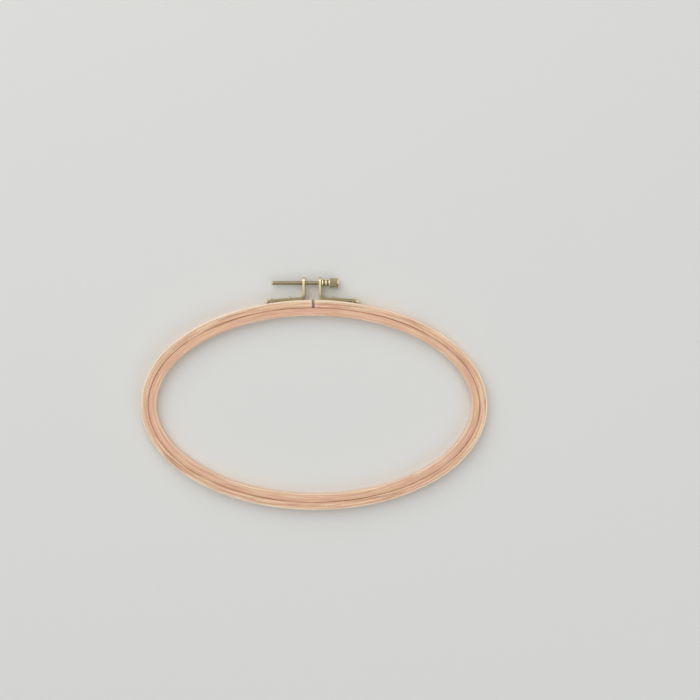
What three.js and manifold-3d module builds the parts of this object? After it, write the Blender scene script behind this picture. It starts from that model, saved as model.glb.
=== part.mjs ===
// Oval embroidery hoop: a closed inner ring, a split outer ring round it, and a brass screw clamp
// that draws the two ends of the outer ring together.
// Millimetres, +Z up. The hoop lies flat on its underside with its long side along X and the clamp
// towards +Y. The origin is on the underside, in the middle of the whole outline.

import * as THREE from 'three';
import { mergeVertices } from 'three/addons/utils/BufferGeometryUtils.js';
import Module from 'manifold-3d';

const wasm = await Module();
wasm.setup();

// Rings
const OPENING_LENGTH = 218;
const OPENING_WIDTH = 124;
const INNER_WALL = 5.4;
const OUTER_WALL = 5.4;
const RING_HEIGHT = 8;
const OPEN_ARRIS = 1;
const JOINT_ARRIS = 0.4;
const SPLIT_WIDTH = 1.9;

// Clearances: between the rings, under what is seated, and round a rod in its hole
const RING_GAP = 0.3;
const SEAT_GAP = 0.3;
const BORE_GAP = 0.3;

// Brackets, bent from flat strip. An ear's rise is how far its round end stands above the screw's axis
const STRIP_WIDTH = 6.5;
const STRIP_THICKNESS = 1.6;
const LEFT_EAR_X = 6.8;
const RIGHT_EAR_X = 4.5;
const EAR_RISE = 4.1;
const FOOT_LENGTH = 26.7;
const EAR_BEND_RADIUS = 2;
const LIP_BEND_RADIUS = 0.5;
const LIP_LENGTH = 0.5;
const LIP_ANGLE = THREE.MathUtils.degToRad(60);

// Rivets
const RIVET_HEAD_DIAMETER = 3.6;
const RIVET_HEAD_HEIGHT = 0.9;
const RIVET_SHANK_DIAMETER = 1.8;
const RIVET_FROM_EAR = 10;
const RIVET_FROM_TIP = 4.2;

// Screw, washer and knob. The screw's height is that of its axis above the outer ring
const SCREW_HEIGHT = 11.5;
const SCREW_DIAMETER = 2.9;
const SCREW_TAIL = 21.4;
const SCREW_CHAMFER = 0.4;
const WASHER_DIAMETER = 5.6;
const WASHER_THICKNESS = 1.1;
const KNOB_BORE_DEPTH = 6;
const NECK_DIAMETER = 4.2;
const NECK_LENGTH = 0.9;
const BEAD_DIAMETER = 5.4;
const BEAD_LENGTH = 1.4;
const GROOVE_LENGTH = 1.1;
const BARREL_DIAMETER = 6.4;
const BARREL_LENGTH = 7.1;
const BARREL_CHAMFER = 0.5;
const SLOT_WIDTH = 1;
const SLOT_DEPTH = 1.2;

// Fineness of the facets
const RING_STEPS = 120;
const BEND_STEPS = 6;
const FOOT_STEPS = 8;
const TURNED_SIDES = 24;
const ROD_SIDES = 20;

// What follows from the sizes above. The joint line is the oval midway between the two rings
const HALF_LENGTH = OPENING_LENGTH / 2 + INNER_WALL + RING_GAP / 2;
const HALF_WIDTH = OPENING_WIDTH / 2 + INNER_WALL + RING_GAP / 2;
const FACE_OFFSET = RING_GAP / 2 + OUTER_WALL;
const CREST = HALF_WIDTH + FACE_OFFSET;
const MID_HEIGHT = RING_HEIGHT / 2;
const SCREW_Y = CREST + SCREW_HEIGHT;
const BORE_RADIUS = SCREW_DIAMETER / 2 + BORE_GAP;
const WASHER_X = RIGHT_EAR_X + STRIP_THICKNESS / 2 + SEAT_GAP;
const KNOB_X = WASHER_X + WASHER_THICKNESS + SEAT_GAP;
const KNOB_LENGTH = NECK_LENGTH + BEAD_LENGTH + GROOVE_LENGTH + BARREL_LENGTH;
const CLAMP_REACH = SCREW_HEIGHT + Math.max(EAR_RISE, BARREL_DIAMETER / 2, WASHER_DIAMETER / 2);

const beech = new THREE.MeshStandardMaterial({ color: 0xd9ad8b, roughness: 0.62, metalness: 0 });
const brass = new THREE.MeshStandardMaterial({ color: 0xc9a961, roughness: 0.3, metalness: 1 });

// A closed geometry as a solid that can be cut and joined
function solidOf(geometry) {
  const bare = geometry.clone();
  bare.deleteAttribute('normal');
  bare.deleteAttribute('uv');
  const merged = mergeVertices(bare);
  const corners = merged.index.array;
  const faces = [];
  for (let i = 0; i < corners.length; i += 3) {
    const [a, b, c] = corners.slice(i, i + 3);
    if (a !== b && b !== c && c !== a) faces.push(a, b, c);
  }
  return new wasm.Manifold(new wasm.Mesh({
    numProp: 3,
    vertProperties: new Float32Array(merged.attributes.position.array),
    triVerts: new Uint32Array(faces),
  }));
}

function geometryOf(solid) {
  const mesh = solid.getMesh();
  const geometry = new THREE.BufferGeometry();
  geometry.setAttribute('position', new THREE.BufferAttribute(mesh.vertProperties, 3));
  geometry.setIndex(new THREE.BufferAttribute(mesh.triVerts, 1));
  geometry.computeVertexNormals();
  return geometry;
}

function namedMesh(name, solid, material) {
  const mesh = new THREE.Mesh(geometryOf(solid), material);
  mesh.name = name;
  return mesh;
}

// A round cutter along +X or, turned by angle in the XY plane, along any direction of it
function drill(radius, length, x, y, angle = 0) {
  const cutter = new THREE.CylinderGeometry(radius, radius, length, ROD_SIDES);
  cutter.rotateZ(angle - Math.PI / 2);
  cutter.translate(x, y, MID_HEIGHT);
  return solidOf(cutter);
}

// The joint line between two angles of the oval, counter-clockwise
class JointLine extends THREE.Curve {
  constructor(from, to) {
    super();
    this.from = from;
    this.to = to;
  }

  getPoint(t, target = new THREE.Vector3()) {
    const angle = THREE.MathUtils.lerp(this.from, this.to, t);
    return target.set(HALF_LENGTH * Math.cos(angle), HALF_WIDTH * Math.sin(angle), 0);
  }

  getTangent(t, target = new THREE.Vector3()) {
    const angle = THREE.MathUtils.lerp(this.from, this.to, t);
    return target.set(-HALF_LENGTH * Math.sin(angle), HALF_WIDTH * Math.cos(angle), 0).normalize();
  }
}

// A ring's wall between two distances outside the joint line. Along the line, the section's x
// points down and its y points inward
function wallSection(near, far, nearArris, farArris) {
  const [low, high] = [-far, -near];
  const section = new THREE.Shape();
  section.moveTo(-RING_HEIGHT + farArris, low);
  section.lineTo(-farArris, low);
  section.absarc(-farArris, low + farArris, farArris, -Math.PI / 2, 0, false);
  section.lineTo(0, high - nearArris);
  section.absarc(-nearArris, high - nearArris, nearArris, 0, Math.PI / 2, false);
  section.lineTo(-RING_HEIGHT + nearArris, high);
  section.absarc(-RING_HEIGHT + nearArris, high - nearArris, nearArris, Math.PI / 2, Math.PI, false);
  section.lineTo(-RING_HEIGHT, low + farArris);
  section.absarc(-RING_HEIGHT + farArris, low + farArris, farArris, Math.PI, Math.PI * 1.5, false);
  return section;
}

function sweep(section, line) {
  return new THREE.ExtrudeGeometry(section, {
    steps: RING_STEPS,
    curveSegments: 1,
    extrudePath: line,
  });
}

// The inner ring has no ends, so only the sides of its sweep are kept
function makeInnerRing() {
  const section = wallSection(-RING_GAP / 2 - INNER_WALL, -RING_GAP / 2, OPEN_ARRIS, JOINT_ARRIS);
  const swept = sweep(section, new JointLine(-Math.PI / 2, Math.PI * 1.5));
  const sides = swept.groups[1];
  const positions = swept.attributes.position.array;
  const ring = new THREE.BufferGeometry();
  const kept = positions.slice(sides.start * 3, (sides.start + sides.count) * 3);
  ring.setAttribute('position', new THREE.BufferAttribute(kept, 3));
  return namedMesh('inner_ring', solidOf(ring), beech);
}

// The outer face of the outer ring near the clamp: its point at x, its outward normal there, that
// normal's direction and the face's curvature
function faceAt(x) {
  let angle = Math.PI / 2;
  const normal = new THREE.Vector2(0, 1);
  for (let i = 0; i < 8; i++) {
    angle = Math.acos((x - normal.x * FACE_OFFSET) / HALF_LENGTH);
    normal.set(HALF_WIDTH * Math.cos(angle), HALF_LENGTH * Math.sin(angle)).normalize();
  }
  const line = new THREE.Vector2(HALF_LENGTH * Math.cos(angle), HALF_WIDTH * Math.sin(angle));
  const speed = Math.hypot(HALF_LENGTH * Math.sin(angle), HALF_WIDTH * Math.cos(angle));
  const radius = speed ** 3 / (HALF_LENGTH * HALF_WIDTH) + FACE_OFFSET;
  return {
    point: line.addScaledVector(normal, FACE_OFFSET),
    normal,
    direction: Math.atan2(normal.y, normal.x),
    curvature: 1 / radius,
  };
}

// The foot of a bracket starts where the ear's bend ends, touching the wood, and is a little
// straighter than the wood, so that its turned-down lip reaches the wood at the far end
function footOf(earX) {
  const bend = EAR_BEND_RADIUS + STRIP_THICKNESS / 2;
  const lipBend = LIP_BEND_RADIUS + STRIP_THICKNESS / 2;
  const slope = Math.PI / 2 - faceAt(earX + bend).direction;
  const start = faceAt(earX + bend * (1 - Math.sin(slope)));
  const lipRun = lipBend * Math.sin(LIP_ANGLE) + LIP_LENGTH * Math.cos(LIP_ANGLE);
  const length = FOOT_LENGTH - bend - lipRun;
  const lift = (lipBend - STRIP_THICKNESS / 2) * (1 - Math.cos(LIP_ANGLE))
    + LIP_LENGTH * Math.sin(LIP_ANGLE);
  return { bend, lipBend, slope, start, length, lift };
}

// How far the foot's underside stands off the wood at x
function standOff(earX, x) {
  const foot = footOf(earX);
  return SEAT_GAP + foot.lift * ((x - foot.start.point.x) / foot.length) ** 2;
}

// The strip edge-on: it starts at x, y and goes on by moves of a length, a turn and its steps
function stripOutline(x, y, heading, moves) {
  const sides = [[], []];
  const mark = () => sides.forEach((side, i) => {
    const out = (i - 0.5) * STRIP_THICKNESS;
    side.push(new THREE.Vector2(x + out * Math.sin(heading), y - out * Math.cos(heading)));
  });
  mark();
  for (const [length, turn, steps] of moves) {
    const half = turn / steps / 2;
    const chord = (length / steps) * (half ? Math.sin(half) / half : 1);
    for (let i = 0; i < steps; i++) {
      heading += half;
      x += chord * Math.cos(heading);
      y += chord * Math.sin(heading);
      heading += half;
      mark();
    }
  }
  return [...sides[0], ...sides[1].reverse()];
}

// Everything under the ear's round end, as wide as it likes below the round
function roundEnd() {
  const radius = STRIP_WIDTH / 2;
  const centre = SCREW_Y + EAR_RISE - radius;
  const outline = new THREE.Shape();
  outline.moveTo(-STRIP_WIDTH, 0);
  outline.lineTo(STRIP_WIDTH, 0);
  outline.lineTo(STRIP_WIDTH, centre);
  outline.lineTo(radius, centre);
  outline.absarc(0, centre, radius, 0, Math.PI, false);
  outline.lineTo(-STRIP_WIDTH, centre);
  const reach = Math.max(LEFT_EAR_X, RIGHT_EAR_X) + FOOT_LENGTH + STRIP_WIDTH;
  const prism = new THREE.ExtrudeGeometry(outline, {
    depth: 2 * reach,
    curveSegments: 10,
    bevelEnabled: false,
  });
  prism.rotateY(Math.PI / 2);
  prism.translate(-reach, 0, MID_HEIGHT);
  return solidOf(prism);
}

function rivetPlaces(earX) {
  return [earX + RIVET_FROM_EAR, earX + FOOT_LENGTH - RIVET_FROM_TIP];
}

// side is 1 for the right bracket and -1 for the left one
function makeBracket(name, side, earX) {
  const foot = footOf(earX);
  const footY = foot.start.point.y + SEAT_GAP + STRIP_THICKNESS / 2;
  const bendTurn = Math.PI / 2 - foot.slope;
  const earFoot = footY + foot.bend * Math.cos(foot.slope);
  const earTop = SCREW_Y + EAR_RISE;
  const footTurn = -foot.length * (foot.start.curvature - 2 * foot.lift / foot.length ** 2);
  const outline = stripOutline(earX, earTop, -Math.PI / 2, [
    [earTop - earFoot, 0, 1],
    [foot.bend * bendTurn, bendTurn, BEND_STEPS],
    [foot.length, footTurn, FOOT_STEPS],
    [foot.lipBend * LIP_ANGLE, -LIP_ANGLE, BEND_STEPS],
    [LIP_LENGTH, 0, 1],
  ]);
  const shape = new THREE.Shape(outline.map((p) => new THREE.Vector2(side * p.x, p.y)));
  const strip = new THREE.ExtrudeGeometry(shape, { depth: STRIP_WIDTH, bevelEnabled: false });
  strip.translate(0, 0, MID_HEIGHT - STRIP_WIDTH / 2);
  let solid = solidOf(strip).intersect(roundEnd());
  solid = solid.subtract(drill(BORE_RADIUS, STRIP_WIDTH, side * earX, SCREW_Y));
  for (const cutter of rivetHoles(side, earX)) solid = solid.subtract(cutter);
  return namedMesh(name, solid, brass);
}

// The holes that one bracket's rivets pass through, in the bracket and in the wood behind it
function rivetHoles(side, earX) {
  return rivetPlaces(earX).map((place) => {
    const { point, direction } = faceAt(side * place);
    const radius = RIVET_SHANK_DIAMETER / 2 + BORE_GAP;
    return drill(radius, 4 * OUTER_WALL, point.x, point.y, direction);
  });
}

function makeOuterRing() {
  const section = wallSection(RING_GAP / 2, FACE_OFFSET, JOINT_ARRIS, OPEN_ARRIS);
  const halfSplit = SPLIT_WIDTH / 2 / HALF_LENGTH;
  const line = new JointLine(Math.PI / 2 + halfSplit, Math.PI * 2.5 - halfSplit);
  let solid = solidOf(sweep(section, line));
  for (const [side, earX] of [[-1, LEFT_EAR_X], [1, RIGHT_EAR_X]]) {
    for (const cutter of rivetHoles(side, earX)) solid = solid.subtract(cutter);
  }
  return namedMesh('outer_ring', solid, beech);
}

// A turned piece from its half profile, set along +X from x
function turned(name, profile, sides, x) {
  const mesh = namedMesh(name, solidOf(new THREE.LatheGeometry(profile.getPoints(), sides)), brass);
  mesh.rotation.z = -Math.PI / 2;
  mesh.position.set(x, SCREW_Y, MID_HEIGHT);
  return mesh;
}

// A dome-head rivet on the outward normal of the wood, its tail just short of the inner face
function makeRivet(name, side, earX, place) {
  const { point, direction } = faceAt(side * place);
  const shank = RIVET_SHANK_DIAMETER / 2;
  const head = RIVET_HEAD_DIAMETER / 2;
  const seat = standOff(earX, place) + STRIP_THICKNESS + SEAT_GAP;
  const profile = new THREE.Path();
  profile.moveTo(0, SEAT_GAP - OUTER_WALL);
  profile.lineTo(shank, SEAT_GAP - OUTER_WALL);
  profile.lineTo(shank, seat);
  profile.lineTo(head, seat);
  profile.absellipse(0, seat, head, RIVET_HEAD_HEIGHT, 0, Math.PI / 2, false, 0);
  const dome = solidOf(new THREE.LatheGeometry(profile.getPoints(3), ROD_SIDES));
  const mesh = namedMesh(name, dome, brass);
  mesh.rotation.z = direction - Math.PI / 2;
  mesh.position.set(point.x, point.y, MID_HEIGHT);
  return mesh;
}

function makeScrew() {
  const start = -LEFT_EAR_X - STRIP_THICKNESS / 2 - SCREW_TAIL;
  const length = KNOB_X + KNOB_BORE_DEPTH - SEAT_GAP - start;
  const radius = SCREW_DIAMETER / 2;
  const profile = new THREE.Path();
  profile.moveTo(0, 0);
  profile.lineTo(radius - SCREW_CHAMFER, 0);
  profile.lineTo(radius, SCREW_CHAMFER);
  profile.lineTo(radius, length);
  profile.lineTo(0, length);
  return turned('clamp_screw', profile, ROD_SIDES, start);
}

function makeWasher() {
  const profile = new THREE.Path();
  profile.moveTo(BORE_RADIUS, 0);
  profile.lineTo(WASHER_DIAMETER / 2, 0);
  profile.lineTo(WASHER_DIAMETER / 2, WASHER_THICKNESS);
  profile.lineTo(BORE_RADIUS, WASHER_THICKNESS);
  profile.lineTo(BORE_RADIUS, 0);
  return turned('washer', profile, TURNED_SIDES, WASHER_X);
}

// The knob from the washer outward: neck, bead, groove and barrel, with the rod's blind bore
function makeKnob() {
  const [neck, bead, barrel] = [NECK_DIAMETER / 2, BEAD_DIAMETER / 2, BARREL_DIAMETER / 2];
  const beadMiddle = NECK_LENGTH + BEAD_LENGTH / 2;
  const barrelStart = KNOB_LENGTH - BARREL_LENGTH;
  const profile = new THREE.Path();
  profile.moveTo(0, KNOB_BORE_DEPTH);
  profile.lineTo(BORE_RADIUS, KNOB_BORE_DEPTH);
  profile.lineTo(BORE_RADIUS, 0);
  profile.lineTo(neck, 0);
  profile.lineTo(neck, NECK_LENGTH);
  profile.absellipse(neck, beadMiddle, bead - neck, BEAD_LENGTH / 2, -Math.PI / 2, Math.PI / 2, false, 0);
  profile.lineTo(neck, barrelStart);
  profile.lineTo(barrel - BARREL_CHAMFER, barrelStart);
  profile.lineTo(barrel, barrelStart + BARREL_CHAMFER);
  profile.lineTo(barrel, KNOB_LENGTH - BARREL_CHAMFER);
  profile.lineTo(barrel - BARREL_CHAMFER, KNOB_LENGTH);
  profile.lineTo(0, KNOB_LENGTH);
  const body = solidOf(new THREE.LatheGeometry(profile.getPoints(4), TURNED_SIDES));
  const slot = new THREE.BoxGeometry(SLOT_WIDTH, 2 * SLOT_DEPTH, 2 * BARREL_DIAMETER);
  slot.translate(0, KNOB_LENGTH, 0);
  const mesh = namedMesh('thumb_knob', body.subtract(solidOf(slot)), brass);
  mesh.rotation.z = -Math.PI / 2;
  mesh.position.set(KNOB_X, SCREW_Y, MID_HEIGHT);
  return mesh;
}

const group = new THREE.Group();
group.position.y = -CLAMP_REACH / 2;
group.add(makeInnerRing(), makeOuterRing());
for (const [hand, side, earX] of [['left', -1, LEFT_EAR_X], ['right', 1, RIGHT_EAR_X]]) {
  const [near, far] = rivetPlaces(earX);
  group.add(makeBracket(`${hand}_bracket`, side, earX));
  group.add(makeRivet(`${hand}_rivet_near`, side, earX, near));
  group.add(makeRivet(`${hand}_rivet_far`, side, earX, far));
}
group.add(makeScrew(), makeWasher(), makeKnob());

export default group;
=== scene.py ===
"""Oval embroidery hoop: two beech rings and a brass screw clamp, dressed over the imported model.

Metres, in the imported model's own frame: +X along the hoop, +Y towards the clamp, +Z up.
"""

import math

import bmesh
import bpy
import numpy as np
from bpy.props import FloatProperty, FloatVectorProperty, IntProperty, PointerProperty
from mathutils import Matrix, Vector, noise


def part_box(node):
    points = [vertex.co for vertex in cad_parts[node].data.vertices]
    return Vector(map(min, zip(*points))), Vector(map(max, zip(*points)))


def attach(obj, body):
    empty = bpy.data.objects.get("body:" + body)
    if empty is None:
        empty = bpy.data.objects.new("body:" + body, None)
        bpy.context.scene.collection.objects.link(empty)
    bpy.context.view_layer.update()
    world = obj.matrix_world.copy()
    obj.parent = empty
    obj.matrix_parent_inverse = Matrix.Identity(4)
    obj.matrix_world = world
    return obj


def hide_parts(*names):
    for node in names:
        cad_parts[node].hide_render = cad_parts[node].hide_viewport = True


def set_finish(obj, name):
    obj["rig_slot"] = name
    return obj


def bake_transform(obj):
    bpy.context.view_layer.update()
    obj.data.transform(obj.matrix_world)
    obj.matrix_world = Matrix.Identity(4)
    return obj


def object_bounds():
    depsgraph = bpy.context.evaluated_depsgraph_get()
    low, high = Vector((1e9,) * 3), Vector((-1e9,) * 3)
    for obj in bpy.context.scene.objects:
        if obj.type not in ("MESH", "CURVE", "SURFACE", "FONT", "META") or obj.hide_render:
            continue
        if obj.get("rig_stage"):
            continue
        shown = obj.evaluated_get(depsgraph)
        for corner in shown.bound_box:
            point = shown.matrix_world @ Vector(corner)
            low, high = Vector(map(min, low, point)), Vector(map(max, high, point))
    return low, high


bl_info = {
    "name": "Oval Embroidery Hoop",
    "version": (1, 0, 0),
    "blender": (4, 5, 0),
    "location": "View3D > Sidebar > Hoop",
    "description": "Builds an oval embroidery hoop with its brass screw clamp",
    "category": "Add Mesh",
}

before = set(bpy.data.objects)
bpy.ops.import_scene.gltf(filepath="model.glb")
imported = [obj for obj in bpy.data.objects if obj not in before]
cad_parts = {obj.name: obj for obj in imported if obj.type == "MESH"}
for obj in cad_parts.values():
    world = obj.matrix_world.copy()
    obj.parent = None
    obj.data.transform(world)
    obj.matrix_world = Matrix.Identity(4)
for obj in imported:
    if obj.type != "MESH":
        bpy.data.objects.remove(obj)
CAD_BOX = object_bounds()

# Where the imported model's pieces are, for the defaults
RING_LOW, RING_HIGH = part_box("inner_ring")
STRIP_LOW, STRIP_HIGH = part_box("left_bracket")
ROD_LOW, ROD_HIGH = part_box("clamp_screw")
WASHER_LOW, WASHER_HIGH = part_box("washer")
KNOB_LOW, KNOB_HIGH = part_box("thumb_knob")
HOOP_CENTRE = (RING_LOW + RING_HIGH) / 2
SCREW_AXIS = (ROD_LOW + ROD_HIGH) / 2
WALL = 0.0054
OPENING = RING_HIGH - RING_LOW - Vector((2 * WALL, 2 * WALL, 0))

# The slack left where two pieces are drawn together
SEAT = 0.00005
AROUND = 2 * math.pi

# Steps round a whole ring
RING_STEPS = 480


def srgb(*levels):
    """A colour given as levels from 0 to 255, in Blender's linear values."""
    shares = [level / 255 for level in levels]
    return tuple(s / 12.92 if s <= 0.04045 else ((s + 0.055) / 1.055) ** 2.4 for s in shares)


def number(name, description, default, low=0, **kind):
    """A property that holds a number."""
    return FloatProperty(name=name, description=description, default=default, min=low, **kind)


def length(name, description, default):
    """A property that holds a length in metres."""
    return number(name, description, default, precision=5, subtype="DISTANCE", unit="LENGTH")


def vector(name, description, default, **kind):
    """A property that holds three numbers."""
    return FloatVectorProperty(name=name, description=description, default=default, **kind)


def colour(name, description, default):
    """A property that holds a colour."""
    return vector(name, description, default, min=0, max=1, subtype="COLOR")


class HoopRings(bpy.types.PropertyGroup):
    """Sizes of the two wooden rings."""

    opening_length: length("Opening length", "Length of the inner ring's opening", OPENING.x)
    opening_width: length("Opening width", "Width of the inner ring's opening", OPENING.y)
    wall: length("Wall", "Thickness of each ring's strip", WALL)
    height: length("Height", "Height of both rings", RING_HIGH.z)
    gap: length("Gap", "Gap between the solids of the two rings", 0.0003)
    joint: length("Joint", "Middle width of the visible joint line", 0.00016)
    open_arris: length("Open arris", "Rounding of the edges at the open faces", 0.001)
    joint_arris: length("Joint arris", "Rounding of the edges beside the gap", 0.0004)
    split: length("Split", "Gap between the outer ring's ends", 0.0019)


class HoopClamp(bpy.types.PropertyGroup):
    """Sizes of the brass clamp."""

    strip_width: length("Strip width", "Width of the strip", STRIP_HIGH.z - STRIP_LOW.z)
    strip_thickness: length("Strip thickness", "Thickness of the strip", 0.0016)
    left_ear: length("Left ear", "Distance of the left ear from the split", 0.0068)
    right_ear: length("Right ear", "Distance of the right ear from the split", 0.0045)
    ear_rise: length("Ear rise", "Height of an ear over the axis", STRIP_HIGH.y - SCREW_AXIS.y)
    foot: length("Foot", "Reach of a bracket's foot from its ear", 0.0267)
    ear_bend: length("Ear bend", "Inside radius of the bend under the ear", 0.002)
    lip_bend: length("Lip bend", "Inside radius of the bend at the foot's tip", 0.0005)
    lip: length("Lip", "Straight length of the foot's turned-down lip", 0.0005)
    near_rivet: length("Near rivet", "Distance of the near rivet from the ear", 0.01)
    far_rivet: length("Far rivet", "Distance of the far rivet from the foot's tip", 0.0042)
    rivet_head: length("Rivet head", "Diameter of a rivet's head", 0.0036)
    rivet_rise: length("Rivet rise", "Height of a rivet's head", 0.0009)
    rivet_shank: length("Rivet shank", "Diameter of a rivet's shank", 0.0018)
    screw: length("Screw", "Diameter over the screw's thread", ROD_HIGH.z - ROD_LOW.z)
    pitch: length("Pitch", "Pitch of the screw's thread", 0.0005)
    washer: length("Washer", "Diameter of the washer", 0.0056)
    neck: length("Neck", "Diameter of the knob's neck and groove", 0.0042)
    neck_length: length("Neck length", "Length of the knob's neck", 0.0009)
    bead: length("Bead", "Diameter of the knob's bead", 0.0054)
    bead_length: length("Bead length", "Length of the knob's bead", 0.0014)
    groove_length: length("Groove length", "Length of the groove behind the bead", 0.0011)
    barrel: length("Barrel", "Diameter of the knob's barrel", 0.0064)
    slot_width: length("Slot width", "Width of the screwdriver slot", 0.001)
    slot_depth: length("Slot depth", "Depth of the screwdriver slot", 0.0012)
    ridges: IntProperty(name="Ridges", description="Ridges round the barrel", default=32, min=8)


class HoopWood(bpy.types.PropertyGroup):
    """Colours of the beech."""

    straw: colour("Straw", "The wood where it is yellowish", srgb(238, 196, 158))
    rose: colour("Rose", "The wood where it is pinkish", srgb(235, 181, 160))
    streak: colour("Streak", "The darker late wood", srgb(205, 149, 115))
    vein: colour("Vein", "The thin brown lines between the years", srgb(164, 112, 80))
    fleck: colour("Fleck", "The short brown flecks", srgb(150, 104, 76))
    bright: colour("Bright", "The pale early wood", srgb(252, 222, 186))
    # Pale edges: partly sanding, partly painted highlight; also paints light over the inner ring's
    # shaded inner wall
    wear_and_painted_light: colour("Worn", "The pale sanded edges", srgb(255, 240, 216))


class HoopBrass(bpy.types.PropertyGroup):
    """Colours of the brass."""

    strip: colour("Strip", "The plated strip", srgb(214, 200, 158))
    turned: colour("Turned", "The turned knob, washer and screw", srgb(250, 236, 200))
    rivet: colour("Rivet", "The rivets, paler than the strip", srgb(242, 226, 206))
    # Also the colour of the painted shade in hollows and on the brackets' foot edges
    tarnish_and_shade: colour("Tarnish", "The brass where it has dulled", srgb(118, 103, 68))


class HoopStage(bpy.types.PropertyGroup):
    """The camera, the floor and the lamps."""

    camera: vector(
        "Camera", "Place from the hoop's centre", (0.0412, 0.0998, 0.897), subtype="XYZ", unit="LENGTH"
    )
    aim: vector("Aim", "The way the camera looks", (-0.018, -0.0687, -0.9975), subtype="DIRECTION")
    lens: number("Lens", "Focal length in millimetres", 66.6, low=10, unit="CAMERA")
    floor: colour("Floor", "The floor around the hoop", srgb(232, 233, 231))
    horizon: colour("Horizon", "The far floor and the horizon", srgb(212, 213, 210))
    flank: colour("Flank", "The sky half way up", srgb(118, 122, 128))
    zenith: colour("Zenith", "The sky straight above", srgb(255, 255, 255))
    sky: number("Sky", "Strength of the light from all round", 0.55, subtype="FACTOR")
    key: number("Key lamp", "Power of the large lamp beyond the clamp", 46, unit="POWER")
    fill: number("Fill lamp", "Power of the lamp on the near side", 9, unit="POWER")


class Oval:
    """The line midway between the two rings, an ellipse measured from its lowest point."""

    def __init__(self, rings):
        grow = rings.wall + rings.gap / 2
        self.half_length = rings.opening_length / 2 + grow
        self.half_width = rings.opening_width / 2 + grow
        self.face = rings.gap / 2 + rings.wall
        self.angles = np.linspace(-1.5 * math.pi, 0.5 * math.pi, 8193)
        x = self.half_length * np.cos(self.angles)
        y = self.half_width * np.sin(self.angles)
        steps = np.hypot(np.diff(x), np.diff(y))
        self.travel = np.concatenate([[0], np.cumsum(steps)])
        self.length = self.travel[-1]
        self.travel -= self.length / 2
        self.radius = self.length / AROUND

    def point(self, angle, out):
        """The point at an angle of the ellipse, a distance outward of it."""
        nx = self.half_width * np.cos(angle)
        ny = self.half_length * np.sin(angle)
        size = np.hypot(nx, ny)
        x = self.half_length * np.cos(angle) + out * nx / size
        y = self.half_width * np.sin(angle) + out * ny / size
        return x + HOOP_CENTRE.x, y + HOOP_CENTRE.y

    def place(self, along, out):
        """The point at a length along the line, right of the bottom positive, and outward."""
        return self.point(np.interp(along, self.travel, self.angles), out)

    def locate(self, x, y):
        """The length along the line and the distance outward of points in the frame."""
        a, b = self.half_length, self.half_width
        x = x - HOOP_CENTRE.x
        y = y - HOOP_CENTRE.y
        angle = np.arctan2(a * y, b * x)
        for _ in range(8):
            sine, cosine = np.sin(angle), np.cos(angle)
            error = (x - a * cosine) * -a * sine + (y - b * sine) * b * cosine
            slope = -a * cosine * (x - a * cosine) - b * sine * (y - b * sine)
            slope -= (a * sine) ** 2 + (b * cosine) ** 2
            angle = angle - error / slope
        sine, cosine = np.sin(angle), np.cos(angle)
        out = (x - a * cosine) * b * cosine + (y - b * sine) * a * sine
        out = out / np.hypot(b * cosine, a * sine)
        angle = (angle + 1.5 * math.pi) % AROUND - 1.5 * math.pi
        return np.interp(angle, self.angles, self.travel), out

    def face_at(self, x):
        """The outer face near the clamp: its point at x, its outward normal and its curvature."""
        angle = math.pi / 2
        normal = Vector((0, 1))
        for _ in range(8):
            angle = math.acos((x - normal.x * self.face) / self.half_length)
            across = self.half_width * math.cos(angle)
            normal = Vector((across, self.half_length * math.sin(angle))).normalized()
        px, py = self.point(angle, self.face)
        speed = math.hypot(self.half_length * math.sin(angle), across)
        bend = speed**3 / (self.half_length * self.half_width) + self.face
        return Vector((px, py)), normal, 1 / bend


def new_object(name, bm, material):
    """Makes an object from a finished bmesh, with its material."""
    mesh = bpy.data.meshes.new(name)
    bm.to_mesh(mesh)
    bm.free()
    made = bpy.data.objects.new(name, mesh)
    bpy.context.scene.collection.objects.link(made)
    mesh.materials.append(material)
    return made


def new_piece(name, bm, material, slot):
    """Makes a piece of the hoop, with the record's slot."""
    piece = new_object(name, bm, material)
    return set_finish(piece, slot)


def smooth_between(piece, degrees):
    """Shades a piece smooth, apart from edges sharper than an angle."""
    piece.data.shade_smooth()
    piece.data.set_sharp_from_angle(angle=math.radians(degrees))


def ease_edges(piece, width):
    """Rounds a piece's sharp edges."""
    bevel = piece.modifiers.new("Eased edges", "BEVEL")
    bevel.width = width
    bevel.segments = 3
    bevel.limit_method = "ANGLE"
    bevel.angle_limit = math.radians(35)
    bevel.harden_normals = True


def cut(piece, cutter):
    """Takes a cutter's solids out of a piece."""
    tool = new_piece("Cutter", cutter, piece.data.materials[0], piece["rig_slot"])
    boolean = piece.modifiers.new("Cut", "BOOLEAN")
    boolean.object = tool
    boolean.operation = "DIFFERENCE"
    boolean.solver = "EXACT"
    bpy.context.view_layer.update()
    graph = bpy.context.evaluated_depsgraph_get()
    old = piece.data
    made = bpy.data.meshes.new_from_object(piece.evaluated_get(graph))
    piece.modifiers.clear()
    piece.data = made
    made.name = piece.name
    bpy.data.meshes.remove(old)
    bpy.data.objects.remove(tool)


def drill(bm, centre, direction, radius, depth, sides=32, flare=1.0):
    """Adds a round cutter to a bmesh, wider at its front end by the flare."""
    turn = Vector(direction).to_track_quat("Z", "Y").to_matrix().to_4x4()
    place = Matrix.Translation(centre) @ turn
    wide = radius * flare
    bmesh.ops.create_cone(
        bm, cap_ends=True, segments=sides, radius1=radius, radius2=wide, depth=depth, matrix=place
    )


def round_off(bm, geometry, radius, segments, affect):
    """Rounds corner points of a flat face, or edges."""
    bmesh.ops.bevel(
        bm, geom=geometry, offset=radius, segments=segments, profile=0.5, affect=affect, material=-1
    )


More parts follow.
